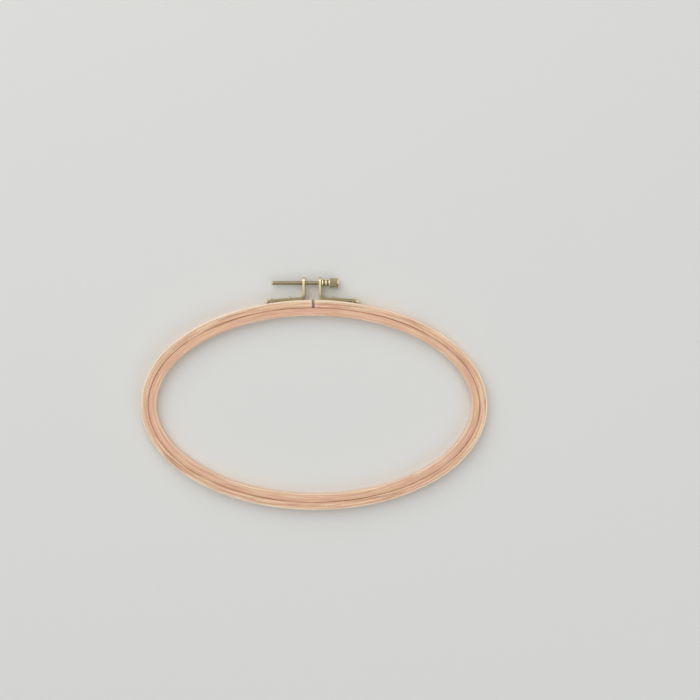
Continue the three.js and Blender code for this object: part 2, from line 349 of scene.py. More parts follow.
def outline(bm, corners, segments):
    """A flat face in the XZ plane from corners, each x, z and the radius that rounds it."""
    points = [bm.verts.new((x, 0, z)) for x, z, _ in corners]
    bm.faces.new(points)
    radii = [radius for _, _, radius in corners]
    for radius in sorted(set(radii) - {0}):
        rounded = [point for point, own in zip(points, radii) if own == radius]
        round_off(bm, rounded, radius, segments, "VERTICES")
    bm.faces.ensure_lookup_table()
    return bm.faces[0]


def spin_all(bm, geometry, centre, axis, angle, steps, merge=False, advance=(0, 0, 0)):
    """Spins geometry round an axis and returns what stands at the end."""
    size = {"angle": angle, "steps": steps, "dvec": advance}
    done = bmesh.ops.spin(bm, geom=geometry, cent=centre, axis=axis, use_merge=merge, **size)
    return done["geom_last"]


def face_outward(bm):
    """Turns all faces of a solid outward."""
    bmesh.ops.recalc_face_normals(bm, faces=bm.faces)


def turned(bm, corners, steps, segments):
    """Turns a half profile of x and radius round the X axis into a closed solid."""
    face = outline(bm, corners, segments)
    on_axis = [e for e in face.edges if all(abs(v.co.z) < 1e-9 for v in e.verts)]
    bmesh.ops.delete(bm, geom=[face], context="FACES_ONLY")
    bmesh.ops.delete(bm, geom=on_axis, context="EDGES")
    spin_all(bm, bm.verts[:] + bm.edges[:], (0, 0, 0), (1, 0, 0), AROUND, steps, merge=True)
    bmesh.ops.remove_doubles(bm, verts=bm.verts, dist=1e-7)
    face_outward(bm)


def ring_section(bm, oval, rings, near, far):
    """A round ring's section between two distances outward, the nearer of them beside the gap."""
    arris = {near: rings.joint_arris, far: rings.open_arris}
    low, high = sorted((near, far))
    places = ((low, 0), (high, 0), (high, rings.height), (low, rings.height))
    face = outline(bm, [(x, z, arris[x]) for x, z in places], 5)
    flats = [edge for edge in face.edges if edge.calc_length() > 0.0015]
    bmesh.ops.subdivide_edges(bm, edges=flats, cuts=4)
    bmesh.ops.translate(bm, vec=(oval.radius, 0, 0), verts=bm.verts)
    return bm.faces[:]


def lay_on_oval(bm, oval, rings):
    """Bends a round ring onto the oval and gives its faces the slight unevenness of sanding."""
    for vert in bm.verts:
        along = math.atan2(vert.co.y, vert.co.x) * oval.radius
        out = math.hypot(vert.co.x, vert.co.y) - oval.radius
        outer = out > 0
        share = 1 - (abs(out) - rings.gap / 2) / rings.wall
        angle = along / oval.radius
        wave = Vector((2.6 * math.cos(angle), 2.6 * math.sin(angle), 3 if outer else 8))
        slack = 0.00022 * noise.noise(wave) + 0.00008 * noise.noise(wave * 4)
        slack = max(0.00001, rings.joint / 2 + slack) - rings.gap / 2
        sanded = 0.00004 * noise.noise(Vector((along * 60, out * 400, vert.co.z * 400)))
        out += (slack if outer else -slack) * share + sanded * (1 - share)
        vert.co.x, vert.co.y = oval.place(along, out)


def note_grain(piece, oval):
    """Notes at each corner of each face where it lies in its strip: along, outward and up."""
    mesh = piece.data
    places = np.empty(len(mesh.vertices) * 3)
    mesh.vertices.foreach_get("co", places)
    places = places.reshape(-1, 3)
    along, out = oval.locate(places[:, 0], places[:, 1])
    corner = np.empty(len(mesh.loops), int)
    mesh.loops.foreach_get("vertex_index", corner)
    starts = np.empty(len(mesh.polygons), int)
    mesh.polygons.foreach_get("loop_start", starts)
    along = along[corner]
    span = np.maximum.reduceat(along, starts) - np.minimum.reduceat(along, starts)
    counts = np.diff(np.append(starts, len(corner)))
    over_top = np.repeat(span > oval.length / 2, counts)
    along = np.where(over_top & (along < 0), along + oval.length, along)
    grain = np.column_stack([along, out[corner], places[corner, 2]])
    noted = mesh.attributes.new("grain", "FLOAT_VECTOR", "CORNER")
    noted.data.foreach_set("vector", grain.astype(np.float32).ravel())


def finish_ring(ring, oval, degrees):
    """Notes a ring's grain and shades it, with its faces flat beside their rounded edges."""
    note_grain(ring, oval)
    smooth_between(ring, degrees)
    normals = ring.modifiers.new("Even shading", "WEIGHTED_NORMAL")
    normals.keep_sharp = True


def hoop_sizes(scene):
    """The rings' and the clamp's sizes, and the rings' oval."""
    return scene.hoop_rings, scene.hoop_clamp, Oval(scene.hoop_rings)


def hands(clamp):
    """Each side's sign, ear, name and body."""
    return (-1, clamp.left_ear, "left", "fixed_end"), (1, clamp.right_ear, "right", "moving_end")


class Foot:
    """A bracket's foot, which lies on the ring from the ear's bend to its turned-down lip."""

    lip_angle = math.radians(60)

    def __init__(self, clamp, oval, ear):
        half = clamp.strip_thickness / 2
        self.bend = clamp.ear_bend + half
        self.lip_bend = clamp.lip_bend + half
        self.tip = ear + clamp.foot
        _, normal, _ = oval.face_at(ear + self.bend)
        self.slope = math.pi / 2 - math.atan2(normal.y, normal.x)
        reach = ear + self.bend * (1 - math.sin(self.slope))
        self.start, _, curvature = oval.face_at(reach)
        sine, cosine = math.sin(self.lip_angle), math.cos(self.lip_angle)
        self.length = clamp.foot - self.bend - (self.lip_bend * sine + clamp.lip * cosine)
        self.lift = clamp.lip_bend * (1 - cosine) + clamp.lip * sine
        self.curvature = curvature - 2 * self.lift / self.length**2

    def stand_off(self, x):
        """How far the foot's underside stands off the wood at x."""
        return SEAT + self.lift * ((x - self.start.x) / self.length) ** 2


def rivet_spots(clamp, oval, side, ear):
    """Each rivet's name, x, place on the outer face and outward direction, side 1 for the right."""
    for reach, x in (("near", ear + clamp.near_rivet), ("far", ear + clamp.foot - clamp.far_rivet)):
        point, normal, _ = oval.face_at(side * x)
        yield reach, x, Vector((point.x, point.y, HOOP_CENTRE.z)), normal.to_3d()


def bend_strip(bm, clamp, foot, ear):
    """Bends a right-hand bracket out of flat strip, from the top of its ear to its lip."""
    foot_y = foot.start.y + SEAT + clamp.strip_thickness / 2
    ear_top = SCREW_AXIS.y + clamp.ear_rise
    ear_foot = foot_y + foot.bend * math.cos(foot.slope)
    place = Matrix.Translation((ear, ear_top, HOOP_CENTRE.z)) @ Matrix.Rotation(math.pi / 2, 4, "X")
    place @= Matrix.Diagonal((clamp.strip_thickness, clamp.strip_width, 1, 1))
    bmesh.ops.create_grid(bm, x_segments=1, y_segments=1, size=0.5, matrix=place)
    end = bm.verts[:] + bm.edges[:] + bm.faces[:]
    at = Vector((ear, ear_top, 0))
    heading = -math.pi / 2
    moves = [
        (ear_top - ear_foot, 0, 1),
        (foot.bend, math.pi / 2 - foot.slope, 12),
        (1 / foot.curvature, -foot.length * foot.curvature, 24),
        (foot.lip_bend, -foot.lip_angle, 8),
        (clamp.lip, 0, 1),
    ]
    for size, turn, steps in moves:
        forward = Vector((math.cos(heading), math.sin(heading), 0))
        if turn:
            left = Vector((-forward.y, forward.x, 0))
            centre = at + left * math.copysign(size, turn)
            end = spin_all(bm, end, centre, (0, 0, 1), turn, steps)
            at = centre + Matrix.Rotation(turn, 3, "Z") @ (at - centre)
            heading += turn
        else:
            end = bmesh.ops.extrude_face_region(bm, geom=end)["geom"]
            moved = [item for item in end if isinstance(item, bmesh.types.BMVert)]
            bmesh.ops.translate(bm, vec=forward * size, verts=moved)
            at = at + forward * size
    face_outward(bm)


def round_ear(bm, clamp):
    """Rounds the top of the ear to a half circle."""
    top = max(vert.co.y for vert in bm.verts)
    ends = [e for e in bm.edges if all(v.co.y > top - 1e-6 for v in e.verts)]
    across = [e for e in ends if abs(e.verts[0].co.z - e.verts[1].co.z) < 1e-6]
    round_off(bm, across, clamp.strip_width / 2 - 1e-6, 14, "EDGES")
    bmesh.ops.remove_doubles(bm, verts=bm.verts, dist=5e-6)


def foot_shade_share(foot, co, normal):
    """How much painted shade a point of a bracket takes: most on the foot's edge faces, a little on its
    broad faces, none up the ear or at the tip.
    """
    most = 0.9 if abs(normal.z) > 0.5 else 0.12
    below_ear = (foot.start.y + 0.0055 - co.y) / 0.003
    before_tip = (foot.tip - abs(co.x)) / 0.002 - 0.4
    return most * min(1, below_ear, before_tip)


def make_bracket(clamp, oval, side, ear, bore):
    """One bent bracket with its screw hole and rivet holes, side 1 for the right one."""
    foot = Foot(clamp, oval, ear)
    bm = bmesh.new()
    bend_strip(bm, clamp, foot, ear)
    round_ear(bm, clamp)
    hand = "right" if side > 0 else "left"
    bracket = new_piece(f"bracket_{hand}", bm, brass("rolled_strip"), "brass")
    cutter = bmesh.new()
    drill(cutter, (ear, SCREW_AXIS.y, SCREW_AXIS.z), (1, 0, 0), bore, 0.004, 48)
    for _, _, spot, outward in rivet_spots(clamp, oval, 1, ear):
        drill(cutter, spot, outward, clamp.rivet_shank / 2 + SEAT, 0.012)
    cut(bracket, cutter)
    if side < 0:
        bracket.data.transform(Matrix.Diagonal((-1, 1, 1, 1)))
        bracket.data.flip_normals()
    # Painted shade on the foot's edge faces
    note_painted_shade(bracket, lambda co, normal: foot_shade_share(foot, co, normal))
    smooth_between(bracket, 30)
    ease_edges(bracket, 0.00034)
    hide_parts(f"{hand}_bracket")
    return bracket


class Nodes:
    """The nodes of one material or world."""

    def __init__(self, owner):
        owner.use_nodes = True
        self.owner = owner
        self.tree = owner.node_tree
        self.shader = self.tree.nodes.get("Principled BSDF")

    def add(self, kind, inputs=(), output=0, **settings):
        """Adds a node, fills its inputs by name or number and returns one of its outputs."""
        node = self.tree.nodes.new(kind)
        for name, value in settings.items():
            setattr(node, name, value)
        for name, value in dict(inputs).items():
            self.fill(node.inputs[name], value)
        return node.outputs[output] if node.outputs else node

    def fill(self, socket, value):
        """Links a socket to another node's output, or sets its value."""
        if isinstance(value, bpy.types.NodeSocket):
            self.tree.links.new(value, socket)
        elif socket.type == "RGBA":
            socket.default_value = (*value, 1)
        else:
            socket.default_value = value

    def math(self, operation, *values, clamp=False):
        """A sum of one, two or three numbers."""
        return self.add("ShaderNodeMath", enumerate(values), operation=operation, use_clamp=clamp)

    def less(self, value, other):
        """One number less another."""
        return self.math("SUBTRACT", value, other)

    def times(self, value, *others):
        """The product of numbers."""
        for other in others:
            value = self.math("MULTIPLY", value, other)
        return value

    def plus(self, value, factor, more):
        """A number times a factor, plus another number."""
        return self.math("MULTIPLY_ADD", value, factor, more)

    def size(self, value):
        """A number without its sign."""
        return self.math("ABSOLUTE", value)

    def spread(self, value, low, high, to_low=0.0, to_high=1.0):
        """Maps a range of a number smoothly to another and stops at its ends."""
        inputs = {"Value": value, 1: low, 2: high, 3: to_low, 4: to_high}
        return self.add("ShaderNodeMapRange", inputs, interpolation_type="SMOOTHSTEP")

    def mix(self, share, low, high):
        """Mixes two colours."""
        inputs = {0: share, 6: low, 7: high}
        return self.add("ShaderNodeMix", inputs, output=2, data_type="RGBA")

    def noise(self, place, scale=1.0, detail=2.0, roughness=0.5):
        """Noise over one number or over a vector, whose axes may have a scale each."""
        flat = place.type == "VALUE"
        if isinstance(scale, tuple):
            stretch = {0: place, 1: scale}
            place = self.add("ShaderNodeVectorMath", stretch, operation="MULTIPLY")
            scale = 1.0
        inputs = {"W" if flat else "Vector": place, "Scale": scale}
        inputs.update(Detail=detail, Roughness=roughness)
        return self.add("ShaderNodeTexNoise", inputs, noise_dimensions="1D" if flat else "3D")

    def finish(self, base, roughness, height, depth):
        """Links colour, roughness and a fine relief to the shader."""
        bump = {"Height": height, "Distance": depth, "Strength": 1.0}
        self.fill(self.shader.inputs["Base Color"], base)
        self.fill(self.shader.inputs["Roughness"], roughness)
        self.fill(self.shader.inputs["Normal"], self.add("ShaderNodeBump", bump))
        return self.owner


class Beech(Nodes):
    """Sanded beech bent along its grain: streaks, fibres, flecks, painted shade along the joint, and
    pale edges that are partly sanding and partly painted highlight.
    """

    def __init__(self, rings):
        super().__init__(bpy.data.materials.new("bent_beech"))
        self.rings = rings
        self.oval = Oval(rings)
        grain = self.add("ShaderNodeAttribute", output=1, attribute_name="grain")
        split = self.add("ShaderNodeSeparateXYZ", {0: grain}).node
        self.along, self.out, self.up = split.outputs

        # The inner ring is another strip, closed by a glued scarf at the lower right
        self.inner = self.math("LESS_THAN", self.out, 0.0)
        self.past_scarf = self.less(self.along, self.plus(self.out, 6.0, 0.105))
        before = self.times(self.math("LESS_THAN", self.past_scarf, 0.0), self.inner)
        strip = self.plus(before, self.oval.length, self.along)
        self.strip = self.plus(self.inner, 1.37, strip)
        self.place = self.add("ShaderNodeCombineXYZ", {0: self.strip, 1: self.out, 2: self.up})
        self.fibres = self.noise(self.place, (26, 3200, 3200), 3.0, 0.55)
        self.flecks = self.spread(self.noise(self.place, (760, 7600, 5600), 1.0, 0.4), 0.60, 0.68)

    def years(self):
        """The growth rings, which wander slowly across the strip."""
        wander = self.less(self.noise(self.strip, 9.0, 3.0), 0.5)
        tilt = self.plus(self.up, 0.30, self.times(self.out, 0.95))
        return self.noise(self.plus(wander, 0.0045, tilt), 980.0, 2.5, 0.6)

    def veins(self):
        """Thin lines in the middle of a slow noise, broken up by another."""
        slow = self.noise(self.place, (11, 260, 260), 3.0, 0.55)
        lines = self.spread(self.size(self.less(slow, 0.5)), 0.036, 0.010)
        return self.times(lines, self.spread(self.noise(self.place, (40, 300, 300)), 0.48, 0.60))

    def beside_joint(self):
        """Painted shade along the joint line, stronger in places."""
        near = self.spread(self.size(self.out), 0.0011, 0.0003)
        return self.times(near, self.spread(self.noise(self.along, 55.0), 0.40, 0.60, 0.1, 0.7))

    def layers(self, wood):
        """The wood's colour, each layer over the last and fainter on the inner ring, the last layer
        painted shade along the joint.
        """
        years = self.years()
        ribbons = self.noise(self.place, (42, 1150, 900))
        tone = self.noise(self.place, (48, 460, 460))
        clear = self.plus(self.inner, -0.5, 1.0)
        base = self.mix(self.spread(tone, 0.32, 0.68), wood.straw[:], wood.rose[:])
        for share, most, tint in (
            (self.spread(years, 0.54, 0.62), 0.5, wood.streak),
            (self.spread(years, 0.48, 0.40), 0.72, wood.bright),
            (self.spread(ribbons, 0.53, 0.64), 0.6, wood.streak),
            (self.spread(ribbons, 0.48, 0.40), 0.95, wood.bright),
            (self.spread(self.fibres, 0.50, 0.66), 0.4, wood.streak),
            (self.spread(self.fibres, 0.46, 0.32), 0.35, wood.bright),
            (self.veins(), 0.42, wood.vein),
            (self.flecks, 0.42, wood.fleck),
            # Painted shade along the joint, in the streak colour
            (self.beside_joint(), 0.8, wood.streak),
        ):
            base = self.mix(self.times(share, clear, most), base, tint[:])
        return base

    def wear_and_painted_light(self):
        """Where the long edges of the open faces and the sawn ends are paler, partly sanding and partly
        painted highlight; the inner ring's inner wall is painted paler over its shade too.
        """
        half_height = self.rings.height / 2
        face = self.less(self.oval.face, self.size(self.out))
        level = self.less(half_height, self.size(self.less(self.up, half_height)))
        ragged = self.spread(self.fibres, 0.3, 0.7, -0.0003, 0.0003)
        rim = self.spread(self.math("ADD", level, ragged), 0.0010, 0.0003)
        # Painted light: the inner ring's whole inner wall is made paler over its shade
        rim = self.math("MAXIMUM", rim, self.times(self.inner, 0.45))
        reach = self.plus(self.inner, 0.0005, self.math("ADD", face, ragged))
        edge = self.times(self.spread(reach, 0.0014, 0.0007), rim)
        edge = self.times(edge, self.spread(self.inner, 0, 1, 1.0, 0.85))
        behind_cut = self.less((self.oval.length - self.rings.split) / 2, self.size(self.along))
        # Painted highlight on the edges beside the saw cut, strongest at the outer top corner
        tip = self.times(
            self.spread(behind_cut, 0.0015, 0.0009),
            self.spread(behind_cut, 0.0001, 0.0004),
            self.math("GREATER_THAN", self.out, 0.0),
            self.spread(level, 0.0018, 0.0008, 0.3, 1.0),
            self.spread(face, 0.0048, 0.0010, 0.35, 1.0),
            0.8,
        )
        thin = self.spread(self.fibres, 0.36, 0.64, 1.0, 0.65)
        return self.times(self.math("MAXIMUM", edge, tip), thin)


def beech():
    """The rings' one material: the wood, its pale edges partly sanding and partly painted highlight,
    and the glue's thin line.
    """
    if "bent_beech" in bpy.data.materials:
        return bpy.data.materials["bent_beech"]
    wood = bpy.context.scene.hoop_wood
    sheet = Beech(bpy.context.scene.hoop_rings)
    # Pale edges, partly sanding and partly painted highlight, over the wood's own colour
    base = sheet.mix(sheet.wear_and_painted_light(), sheet.layers(wood), wood.wear_and_painted_light[:])
    glue = sheet.spread(sheet.size(sheet.past_scarf), 0.0006, 0.0002, 0.0, 0.3)
    base = sheet.mix(sheet.times(glue, sheet.inner), base, wood.fleck[:])
    relief = sheet.less(sheet.fibres, sheet.times(sheet.flecks, 0.5))
    return sheet.finish(base, sheet.spread(sheet.fibres, 0.3, 0.7, 0.52, 0.68), relief, 0.00004)


# Each brass: its colour, its roughness, the scale of its marks and how much painted shade its hollows
# take
BRASSES = {
    "rolled_strip": ("strip", (0.28, 0.44), (500, 900, 5200), 0.82),
    "headed_rivet": ("rivet", (0.2, 0.32), (900, 900, 900), 0.7),
    "turned_metal": ("turned", (0.22, 0.38), (11000, 300, 300), 0.9),
}


def brass(name):
    """Brass with rolling or turning marks and tarnish, and painted shade where the noted attribute says
    so.
    """
    if name in bpy.data.materials:
        return bpy.data.materials[name]
    tone, rough, streaks, hollow_shade = BRASSES[name]
    colours = bpy.context.scene.hoop_brass
    sheet = Nodes(bpy.data.materials.new(name))
    sheet.shader.inputs["Metallic"].default_value = 1.0
    place = sheet.add("ShaderNodeTexCoord", output=3)
    hollow = sheet.add("ShaderNodeAttribute", output=2, attribute_name="hollow")
    marks = sheet.noise(place, streaks, 3.0, 0.6)
    clouds = sheet.spread(sheet.noise(place, 420.0, 4.0, 0.6), 0.44, 0.68, 0.0, 0.26)
    spots = sheet.spread(sheet.noise(place, 2600.0), 0.62, 0.74, 0.0, 0.2)
    # Tarnish clouds and spots, and painted shade where the attribute says
    wear_and_painted_light = sheet.math("MAXIMUM", clouds, sheet.times(hollow, hollow_shade))
    wear_and_painted_light = sheet.math("ADD", wear_and_painted_light, spots, clamp=True)
    base = sheet.mix(wear_and_painted_light, getattr(colours, tone)[:], colours.tarnish_and_shade[:])
    polish = sheet.plus(wear_and_painted_light, 0.25, sheet.spread(marks, 0.3, 0.7, *rough))
    return sheet.finish(base, polish, marks, 0.000006)


def set_on_axis(piece, degrees):
    """Moves a turned piece from the X axis to the screw's and shades it."""
    piece.data.transform(Matrix.Translation((0, SCREW_AXIS.y, SCREW_AXIS.z)))
    smooth_between(piece, degrees)


def note_painted_shade(piece, share):
    """Notes at each corner of each face how much painted shade it takes, as a share kept between 0 and
    1.
    """
    mesh = piece.data
    noted = mesh.attributes.new("hollow", "FLOAT", "CORNER")
    points = mesh.vertices
    shares = [share(points[at].co, face.normal) for face in mesh.polygons for at in face.vertices]
    noted.data.foreach_set("value", np.clip(shares, 0, 1).astype(np.float32))


class HOOP_OT_inner_ring(bpy.types.Operator):
    """Build the closed inner ring"""

    bl_idname = "hoop.inner_ring"
    bl_label = "Inner Ring"

    def execute(self, context):
        rings, _, oval = hoop_sizes(context.scene)
        bm = bmesh.new()
        near = -rings.gap / 2
        section = ring_section(bm, oval, rings, near, near - rings.wall)
        bmesh.ops.delete(bm, geom=section, context="FACES_ONLY")
        start = bm.verts[:] + bm.edges[:]
        spin_all(bm, start, (0, 0, 0), (0, 0, 1), AROUND, RING_STEPS, merge=True)
        face_outward(bm)
        lay_on_oval(bm, oval, rings)
        ring = new_piece("ring_inner", bm, beech(), "beech")
        finish_ring(ring, oval, 60)
        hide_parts("inner_ring")
        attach(ring, "inner")
        return {"FINISHED"}


# How far a sawn end's edges are eased, and each inset that eases them: its width and height
END_EASE = 0.00032
END_INSETS = ((0.0001, 0.00019), (0.0002, 0.00013))
# The cutter for the rivets' tails: its radius, depth, sides and flare
COUNTERSINK = (0.0011, 0.0014, 32, 1.9)


def make_half(rings, clamp, oval, side, ear, name):
    """One half, from the bottom of the oval to its cut end."""
    bm = bmesh.new()
    near = rings.gap / 2
    ring_section(bm, oval, rings, near, near + rings.wall)
    sweep = math.pi - (rings.split / 2 + END_EASE) / oval.radius
    start = bm.verts[:] + bm.edges[:] + bm.faces[:]
    end = spin_all(bm, start, (0, 0, 0), (0, 0, 1), side * sweep, RING_STEPS // 2)
    face_outward(bm)
    caps = [item for item in end if isinstance(item, bmesh.types.BMFace)]
    for width, height in END_INSETS:
        bmesh.ops.inset_region(bm, faces=caps, thickness=width, depth=height)
    lay_on_oval(bm, oval, rings)
    half = new_piece(f"ring_outer_{name}", bm, beech(), "beech")
    shanks = bmesh.new()
    sinks = bmesh.new()
    shank = clamp.rivet_shank / 2 + SEAT
    for _, _, spot, outward in rivet_spots(clamp, oval, side, ear):
        inward = Vector((-outward.x, -outward.y, 0))
        drill(shanks, spot + inward * rings.wall / 2, inward, shank, 2 * rings.wall)
        drill(sinks, spot + inward * rings.wall, inward, *COUNTERSINK)
    cut(half, shanks)
    cut(half, sinks)
    finish_ring(half, oval, 40)
    return half


class HOOP_OT_outer_ring(bpy.types.Operator):
    """Build the split outer ring as two halves that meet opposite the clamp"""

    bl_idname = "hoop.outer_ring"
    bl_label = "Outer Ring"

    def execute(self, context):
        rings, clamp, oval = hoop_sizes(context.scene)
        for side, ear, name, _ in hands(clamp):
            half = make_half(rings, clamp, oval, side, ear, name)
            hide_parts("outer_ring")
            if side < 0:
                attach(half, "fixed_end")
            else:
                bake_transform(half)
        return {"FINISHED"}


class HOOP_OT_brackets(bpy.types.Operator):
    """Bend the two brass brackets"""

    bl_idname = "hoop.brackets"
    bl_label = "Brackets"

    def execute(self, context):
        _, clamp, oval = hoop_sizes(context.scene)
        tapped = clamp.screw / 2 + SEAT
        clear = clamp.screw / 2 + 0.0002
        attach(make_bracket(clamp, oval, -1, clamp.left_ear, tapped), "fixed_end")
        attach(make_bracket(clamp, oval, 1, clamp.right_ear, clear), "moving_end")
        return {"FINISHED"}


def make_rivet(clamp, rings, seat, name):
    """A low-domed rivet along X, its tail rolled over in the wood's inner face."""
    head = clamp.rivet_head / 2
    shank = clamp.rivet_shank / 2
    top = seat + clamp.rivet_rise
    tail = -rings.wall + 0.00012
    hollow = tail + 0.0008
    bm = bmesh.new()
    corners = [
        (top, 0, 0),
        (top - 0.00006, head * 0.45, 0.0004),
        (seat + 0.0003, head, 0.0003),
        (seat, head, 0.0001),
        (seat, shank, 0),
        (tail + 0.0006, shank, 0.0002),
        (tail, shank + 0.00055, 0.0001),
        (tail, shank - 0.0002, 0.0002),
        (hollow, 0.0003, 0.0002),
        (hollow, 0, 0),
    ]
    turned(bm, corners, 32, 4)
    rivet = new_piece(name, bm, brass("headed_rivet"), "brass")
    # Painted shade in the hollow of the rolled tail
    note_painted_shade(rivet, lambda co, _: (hollow - co.x) / (hollow - tail))
    smooth_between(rivet, 50)
    return rivet


class HOOP_OT_rivets(bpy.types.Operator):
    """Set the four rivets that hold the brackets on the outer ring"""

    bl_idname = "hoop.rivets"
    bl_label = "Rivets"

    def execute(self, context):
        rings, clamp, oval = hoop_sizes(context.scene)
        for side, ear, hand, body in hands(clamp):
            foot = Foot(clamp, oval, ear)
            for reach, x, spot, outward in rivet_spots(clamp, oval, side, ear):
                seat = foot.stand_off(x) + clamp.strip_thickness + SEAT
                rivet = make_rivet(clamp, rings, seat, f"rivet_{hand}_{reach}")
                turn = Matrix.Rotation(math.atan2(outward.y, outward.x), 4, "Z")
                rivet.data.transform(Matrix.Translation(spot) @ turn)
                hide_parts(f"{hand}_rivet_{reach}")
                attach(rivet, body)
        return {"FINISHED"}


def cut_thread(bm, pitch, root, crest, low, high):
    """One turn of a right-hand thread, repeated along X and trimmed to length."""
    steps = 28
    shape = ((0, root), (0.18, root), (0.46, crest), (0.72, crest), (1, root))
    points = [bm.verts.new((low + (x - 2) * pitch, 0, z)) for x, z in shape]
    for first, second in zip(points, points[1:]):
        bm.edges.new((first, second))
    start = bm.verts[:] + bm.edges[:]
    step = (pitch / steps, 0, 0)
    spin_all(bm, start, (0, 0, 0), (1, 0, 0), AROUND, steps, advance=step)
    turns = 1
    while turns * pitch < high - low + 4 * pitch:
        copied = bmesh.ops.duplicate(bm, geom=bm.verts[:] + bm.edges[:] + bm.faces[:])
        moved = [item for item in copied["geom"] if isinstance(item, bmesh.types.BMVert)]
        bmesh.ops.translate(bm, vec=(turns * pitch, 0, 0), verts=moved)
        turns *= 2
    bmesh.ops.remove_doubles(bm, verts=bm.verts, dist=1e-7)
    for place, side in ((low, -1), (high, 1)):
        plane = {"plane_co": (place, 0, 0), "plane_no": (side, 0, 0), "clear_outer": True}
        bmesh.ops.bisect_plane(bm, geom=bm.verts[:] + bm.edges[:] + bm.faces[:], dist=1e-8, **plane)
    bmesh.ops.holes_fill(bm, edges=bm.edges)
    face_outward(bm)


def point_tip(bm, root):
    """Chamfers the screw's free end."""
    for vert in bm.verts:
        limit = root * 0.9 + (vert.co.x - ROD_LOW.x) * 0.9
        radius = vert.co.yz.length
        if limit < radius:
            vert.co.y *= limit / radius
            vert.co.z *= limit / radius


class HOOP_OT_clamp_screw(bpy.types.Operator):
    """Cut the clamp screw with its thread"""

    bl_idname = "hoop.clamp_screw"
    bl_label = "Clamp Screw"

    def execute(self, context):
        clamp = context.scene.hoop_clamp
        crest = clamp.screw / 2
        root = crest - 0.55 * clamp.pitch
        bm = bmesh.new()
        cut_thread(bm, clamp.pitch, root, crest, ROD_LOW.x, ROD_HIGH.x)
        point_tip(bm, root)
        screw = new_piece("clamp_screw_threaded", bm, brass("turned_metal"), "turned_brass")
        faced = ROD_LOW.x + 0.0008
        # Painted shade over the thread, most in its roots, none near the faced end
        note_painted_shade(screw, lambda co, _: co.x > faced and 0.4 + (crest - co.yz.length) / (crest - root))
        set_on_axis(screw, 35)
        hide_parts("clamp_screw")
        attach(screw, "screw")
        return {"FINISHED"}


class HOOP_OT_washer(bpy.types.Operator):
    """Turn the washer between the right ear and the knob"""

    bl_idname = "hoop.washer"
    bl_label = "Washer"

    def execute(self, context):
        clamp = context.scene.hoop_clamp
        hole = clamp.screw / 2 + 0.0001
        rim = clamp.washer / 2
        low = WASHER_LOW.x - 0.0002
        high = WASHER_HIGH.x
        flange = high - 0.0008
        bm = bmesh.new()
        hub = rim - 0.0005
        corners = [
            (low, hole, 0.0001),
            (high, hole, 0.0001),
            (high, rim, 0.00016),
            (flange, rim, 0.00016),
            (flange, hub, 0.0001),
            (low, hub, 0.00015),
        ]
        turned(bm, corners, 64, 4)
        washer = new_piece("washer_turned", bm, brass("turned_metal"), "turned_brass")
        # Painted shade on the hub, inward of the rim
        note_painted_shade(washer, lambda co, _: (rim - 0.0002 - co.yz.length) / 0.0003)
        set_on_axis(washer, 40)
        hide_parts("washer")
        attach(washer, "moving_end")
        return {"FINISHED"}


# How far the barrel's plain bands reach, and the knurl's depth and columns of faces to a ridge
BAND = 0.0009
RIDGE_DEPTH = 0.00022
RIDGE_COLUMNS = 6


def knob_profile(clamp, start):
    """The knob's half profile: bore, neck, bead, groove and barrel."""
    bore = clamp.screw / 2 + SEAT
    neck = clamp.neck / 2
    bead = clamp.bead / 2
    barrel = clamp.barrel / 2
    sunk = barrel - 0.00012
    low, high = KNOB_LOW.x, KNOB_HIGH.x
    bead_low = low + clamp.neck_length
    bead_high = bead_low + clamp.bead_length
    bottom = ROD_HIGH.x + 0.0001
    return [
        (bottom, 0, 0),
        (bottom, bore, 0),
        (low, bore, 0),
        (low, neck, 0.00015),
        (bead_low, neck, 0.0001),
        (bead_low + 0.0001, bead, 0.0005),
        (bead_high - 0.0001, bead, 0.0005),
        (bead_high, neck, 0.0001),
        (start, neck, 0.0001),
        (start, barrel - 0.0003, 0.0001),
        (start + 0.0003, barrel, 0.0001),
        (start + 0.00075, barrel, 0.00005),
        (start + BAND, sunk, 0.00002),
        (start + 0.0012, sunk, 0),
        (high - 0.0012, sunk, 0),
        (high - BAND, sunk, 0.00002),
        (high - 0.00075, barrel, 0.00005),
        (high - 0.00035, barrel, 0.00015),
        (high, barrel - 0.00045, 0.0002),
        (high, 0, 0),
    ]


def knurl(bm, clamp, low, high):
    """Presses straight ridges into the barrel between two places."""
    for vert in bm.verts:
        radius = vert.co.yz.length
        if low - 5e-5 < vert.co.x < high + 5e-5 and radius > clamp.neck / 2 + 2e-4:
            angle = math.atan2(vert.co.z, vert.co.y)
            step = abs((angle * clamp.ridges / AROUND) % 1 - 0.5) * 2
            ends = min(vert.co.x - low, high - vert.co.x) / 0.00028
            depth = RIDGE_DEPTH * (1 - min(1, step * 1.35)) * min(1, max(0, ends))
            vert.co.y *= 1 - depth / radius
            vert.co.z *= 1 - depth / radius


def knob_shade_share(co, clamp, start):
    """How much painted shade a point of the knob takes: in the neck and groove below the bead, and over
    the whole knurled barrel, most between its ridges.
    """
    radius = co.yz.length
    if co.x < start + 0.0002:
        return (clamp.bead / 2 - radius) / 0.0006
    if start + 0.0008 < co.x < KNOB_HIGH.x - 0.0008:
        return 0.6 + 0.4 * (clamp.barrel / 2 - radius) / 0.0003
    return 0


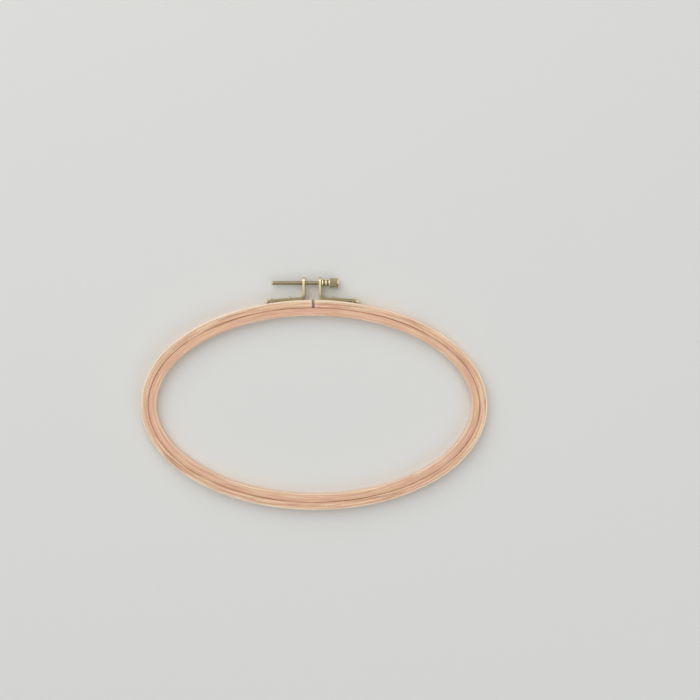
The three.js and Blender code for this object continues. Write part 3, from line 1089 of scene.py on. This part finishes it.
class HOOP_OT_knob(bpy.types.Operator):
    """Turn the knob, with its knurled barrel and screwdriver slot"""

    bl_idname = "hoop.knob"
    bl_label = "Knob"

    def execute(self, context):
        clamp = context.scene.hoop_clamp
        start = KNOB_LOW.x + clamp.neck_length + clamp.bead_length + clamp.groove_length
        bm = bmesh.new()
        turned(bm, knob_profile(clamp, start), clamp.ridges * RIDGE_COLUMNS, 3)
        knurl(bm, clamp, start + BAND, KNOB_HIGH.x - BAND)
        knob = new_piece("thumb_knob_knurled", bm, brass("turned_metal"), "turned_brass")
        cutter = bmesh.new()
        place = Matrix.Translation((KNOB_HIGH.x, 0, 0)) @ Matrix.Rotation(math.radians(24), 4, "X")
        place @= Matrix.Diagonal((2 * clamp.slot_depth, clamp.slot_width, 0.01, 1))
        bmesh.ops.create_cube(cutter, size=1, matrix=place)
        cut(knob, cutter)
        # Painted shade in the groove and over the knurl
        note_painted_shade(knob, lambda co, _: knob_shade_share(co, clamp, start))
        set_on_axis(knob, 28)
        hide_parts("thumb_knob")
        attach(knob, "screw")
        return {"FINISHED"}


def lay_floor(stage):
    """A plain pale floor just under the rings, which meets the horizon without a line."""
    bm = bmesh.new()
    below = Matrix.Translation((0, 0, -0.00002))
    bmesh.ops.create_grid(bm, x_segments=1, y_segments=1, size=60, matrix=below)
    sheet = Nodes(bpy.data.materials.new("floor_card"))
    place = sheet.add("ShaderNodeTexCoord", output=3)
    sheet.finish(stage.floor[:], 0.7, sheet.noise(place, 1800.0), 0.00002)
    away = sheet.add("ShaderNodeVectorMath", {0: place}, output=1, operation="LENGTH")
    seen = sheet.times(sheet.spread(away, 0.4, 2.0), sheet.add("ShaderNodeLightPath"))
    far = sheet.add("ShaderNodeEmission", {"Color": stage.horizon[:]})
    both = sheet.add("ShaderNodeMixShader", {0: seen, 1: sheet.shader.outputs[0], 2: far})
    sheet.fill(sheet.tree.nodes["Material Output"].inputs[0], both)
    floor = new_object("floor", bm, sheet.owner)
    floor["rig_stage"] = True


def light_sky(scene, stage):
    """Plain light from all round, under a backdrop that is darker half way up."""
    scene.world = bpy.data.worlds.new("studio")
    sheet = Nodes(scene.world)
    sheet.tree.nodes.clear()
    view = sheet.add("ShaderNodeSeparateXYZ", {0: sheet.add("ShaderNodeTexCoord")}, output=2)
    shade = sheet.add("ShaderNodeValToRGB", {0: view})
    ramp = shade.node.color_ramp.elements
    ramp[0].color = (*stage.horizon, 1)
    ramp[1].color = (*stage.zenith, 1)
    ramp[1].position = 0.88
    ramp.new(0.5).color = (*stage.flank, 1)
    rays = sheet.add("ShaderNodeLightPath").node.outputs
    seen = sheet.math("MAXIMUM", rays["Is Camera Ray"], rays["Is Glossy Ray"])
    light = sheet.add("ShaderNodeBackground", {"Strength": stage.sky})
    backdrop = sheet.add("ShaderNodeBackground", {"Color": shade})
    both = sheet.add("ShaderNodeMixShader", {0: seen, 1: light, 2: backdrop})
    sheet.add("ShaderNodeOutputWorld", {0: both})


def hang_lamp(name, place, size, power, tint):
    """A large square lamp that faces the hoop."""
    lamp = bpy.data.lights.new(name, "AREA")
    lamp.size = size
    lamp.energy = power
    lamp.color = tint
    hung = bpy.data.objects.new(name, lamp)
    hung.location = place
    hung.rotation_mode = "QUATERNION"
    hung.rotation_quaternion = (HOOP_CENTRE - Vector(place)).to_track_quat("-Z", "Y")
    bpy.context.scene.collection.objects.link(hung)


def place_camera(scene, stage):
    """The camera almost straight above, its top edge towards the clamp."""
    back = -Vector(stage.aim).normalized()
    right = Vector((0, 1, 0)).cross(back).normalized()
    up = back.cross(right)
    turn = Matrix((right, up, back)).transposed().to_4x4()
    data = bpy.data.cameras.new("camera")
    data.lens = stage.lens
    data.sensor_width = 36
    data.clip_start = 0.01
    camera = bpy.data.objects.new("camera", data)
    centre = Vector((HOOP_CENTRE.x, HOOP_CENTRE.y, 0))
    camera.matrix_world = Matrix.Translation(centre + Vector(stage.camera)) @ turn
    scene.collection.objects.link(camera)
    scene.camera = camera


class HOOP_OT_stage(bpy.types.Operator):
    """Set the floor, the lamps and the camera"""

    bl_idname = "hoop.stage"
    bl_label = "Stage"

    def execute(self, context):
        stage = context.scene.hoop_stage
        lay_floor(stage)
        light_sky(context.scene, stage)
        hang_lamp("Key", (-0.9, 1.66, 1.96), 3.2, stage.key, (1.0, 0.985, 0.96))
        hang_lamp("Fill", (1.5, -1.3, 1.7), 1.5, stage.fill, (0.95, 0.98, 1.0))
        place_camera(context.scene, stage)
        context.scene.view_settings.view_transform = "Standard"
        return {"FINISHED"}


class HOOP_PT_panel(bpy.types.Panel):
    """Sizes, colours and building steps of the hoop"""

    bl_idname = "HOOP_PT_panel"
    bl_label = "Embroidery Hoop"
    bl_space_type = "VIEW_3D"
    bl_region_type = "UI"
    bl_category = "Hoop"

    def draw(self, context):
        layout = self.layout
        for group in GROUPS:
            settings = getattr(context.scene, group)
            box = layout.box()
            box.label(text=settings.bl_rna.description)
            for name in settings.__annotations__:
                box.prop(settings, name)
        for operator in OPERATORS:
            layout.operator(operator.bl_idname)


GROUPS = {
    "hoop_rings": HoopRings,
    "hoop_clamp": HoopClamp,
    "hoop_wood": HoopWood,
    "hoop_brass": HoopBrass,
    "hoop_stage": HoopStage,
}
OPERATORS = (
    HOOP_OT_inner_ring,
    HOOP_OT_outer_ring,
    HOOP_OT_brackets,
    HOOP_OT_rivets,
    HOOP_OT_clamp_screw,
    HOOP_OT_washer,
    HOOP_OT_knob,
    HOOP_OT_stage,
)
KINDS = (*GROUPS.values(), *OPERATORS, HOOP_PT_panel)


def register():
    """Registers the settings, the operators and the panel."""
    for kind in KINDS:
        bpy.utils.register_class(kind)
    for name, kind in GROUPS.items():
        setattr(bpy.types.Scene, name, PointerProperty(type=kind))


def unregister():
    """Removes what register added."""
    for name in GROUPS:
        delattr(bpy.types.Scene, name)
    for kind in reversed(KINDS):
        bpy.utils.unregister_class(kind)


def main():
    """Builds every piece and the stage."""
    register()
    bpy.ops.hoop.inner_ring()
    bpy.ops.hoop.outer_ring()
    bpy.ops.hoop.brackets()
    bpy.ops.hoop.rivets()
    bpy.ops.hoop.clamp_screw()
    bpy.ops.hoop.washer()
    bpy.ops.hoop.knob()
    bpy.ops.hoop.stage()
    sizes = {"cad": CAD_BOX, "visual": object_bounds()}
    {key: [list(corner) for corner in box] for key, box in sizes.items()}


if __name__ == "__main__":
    main()
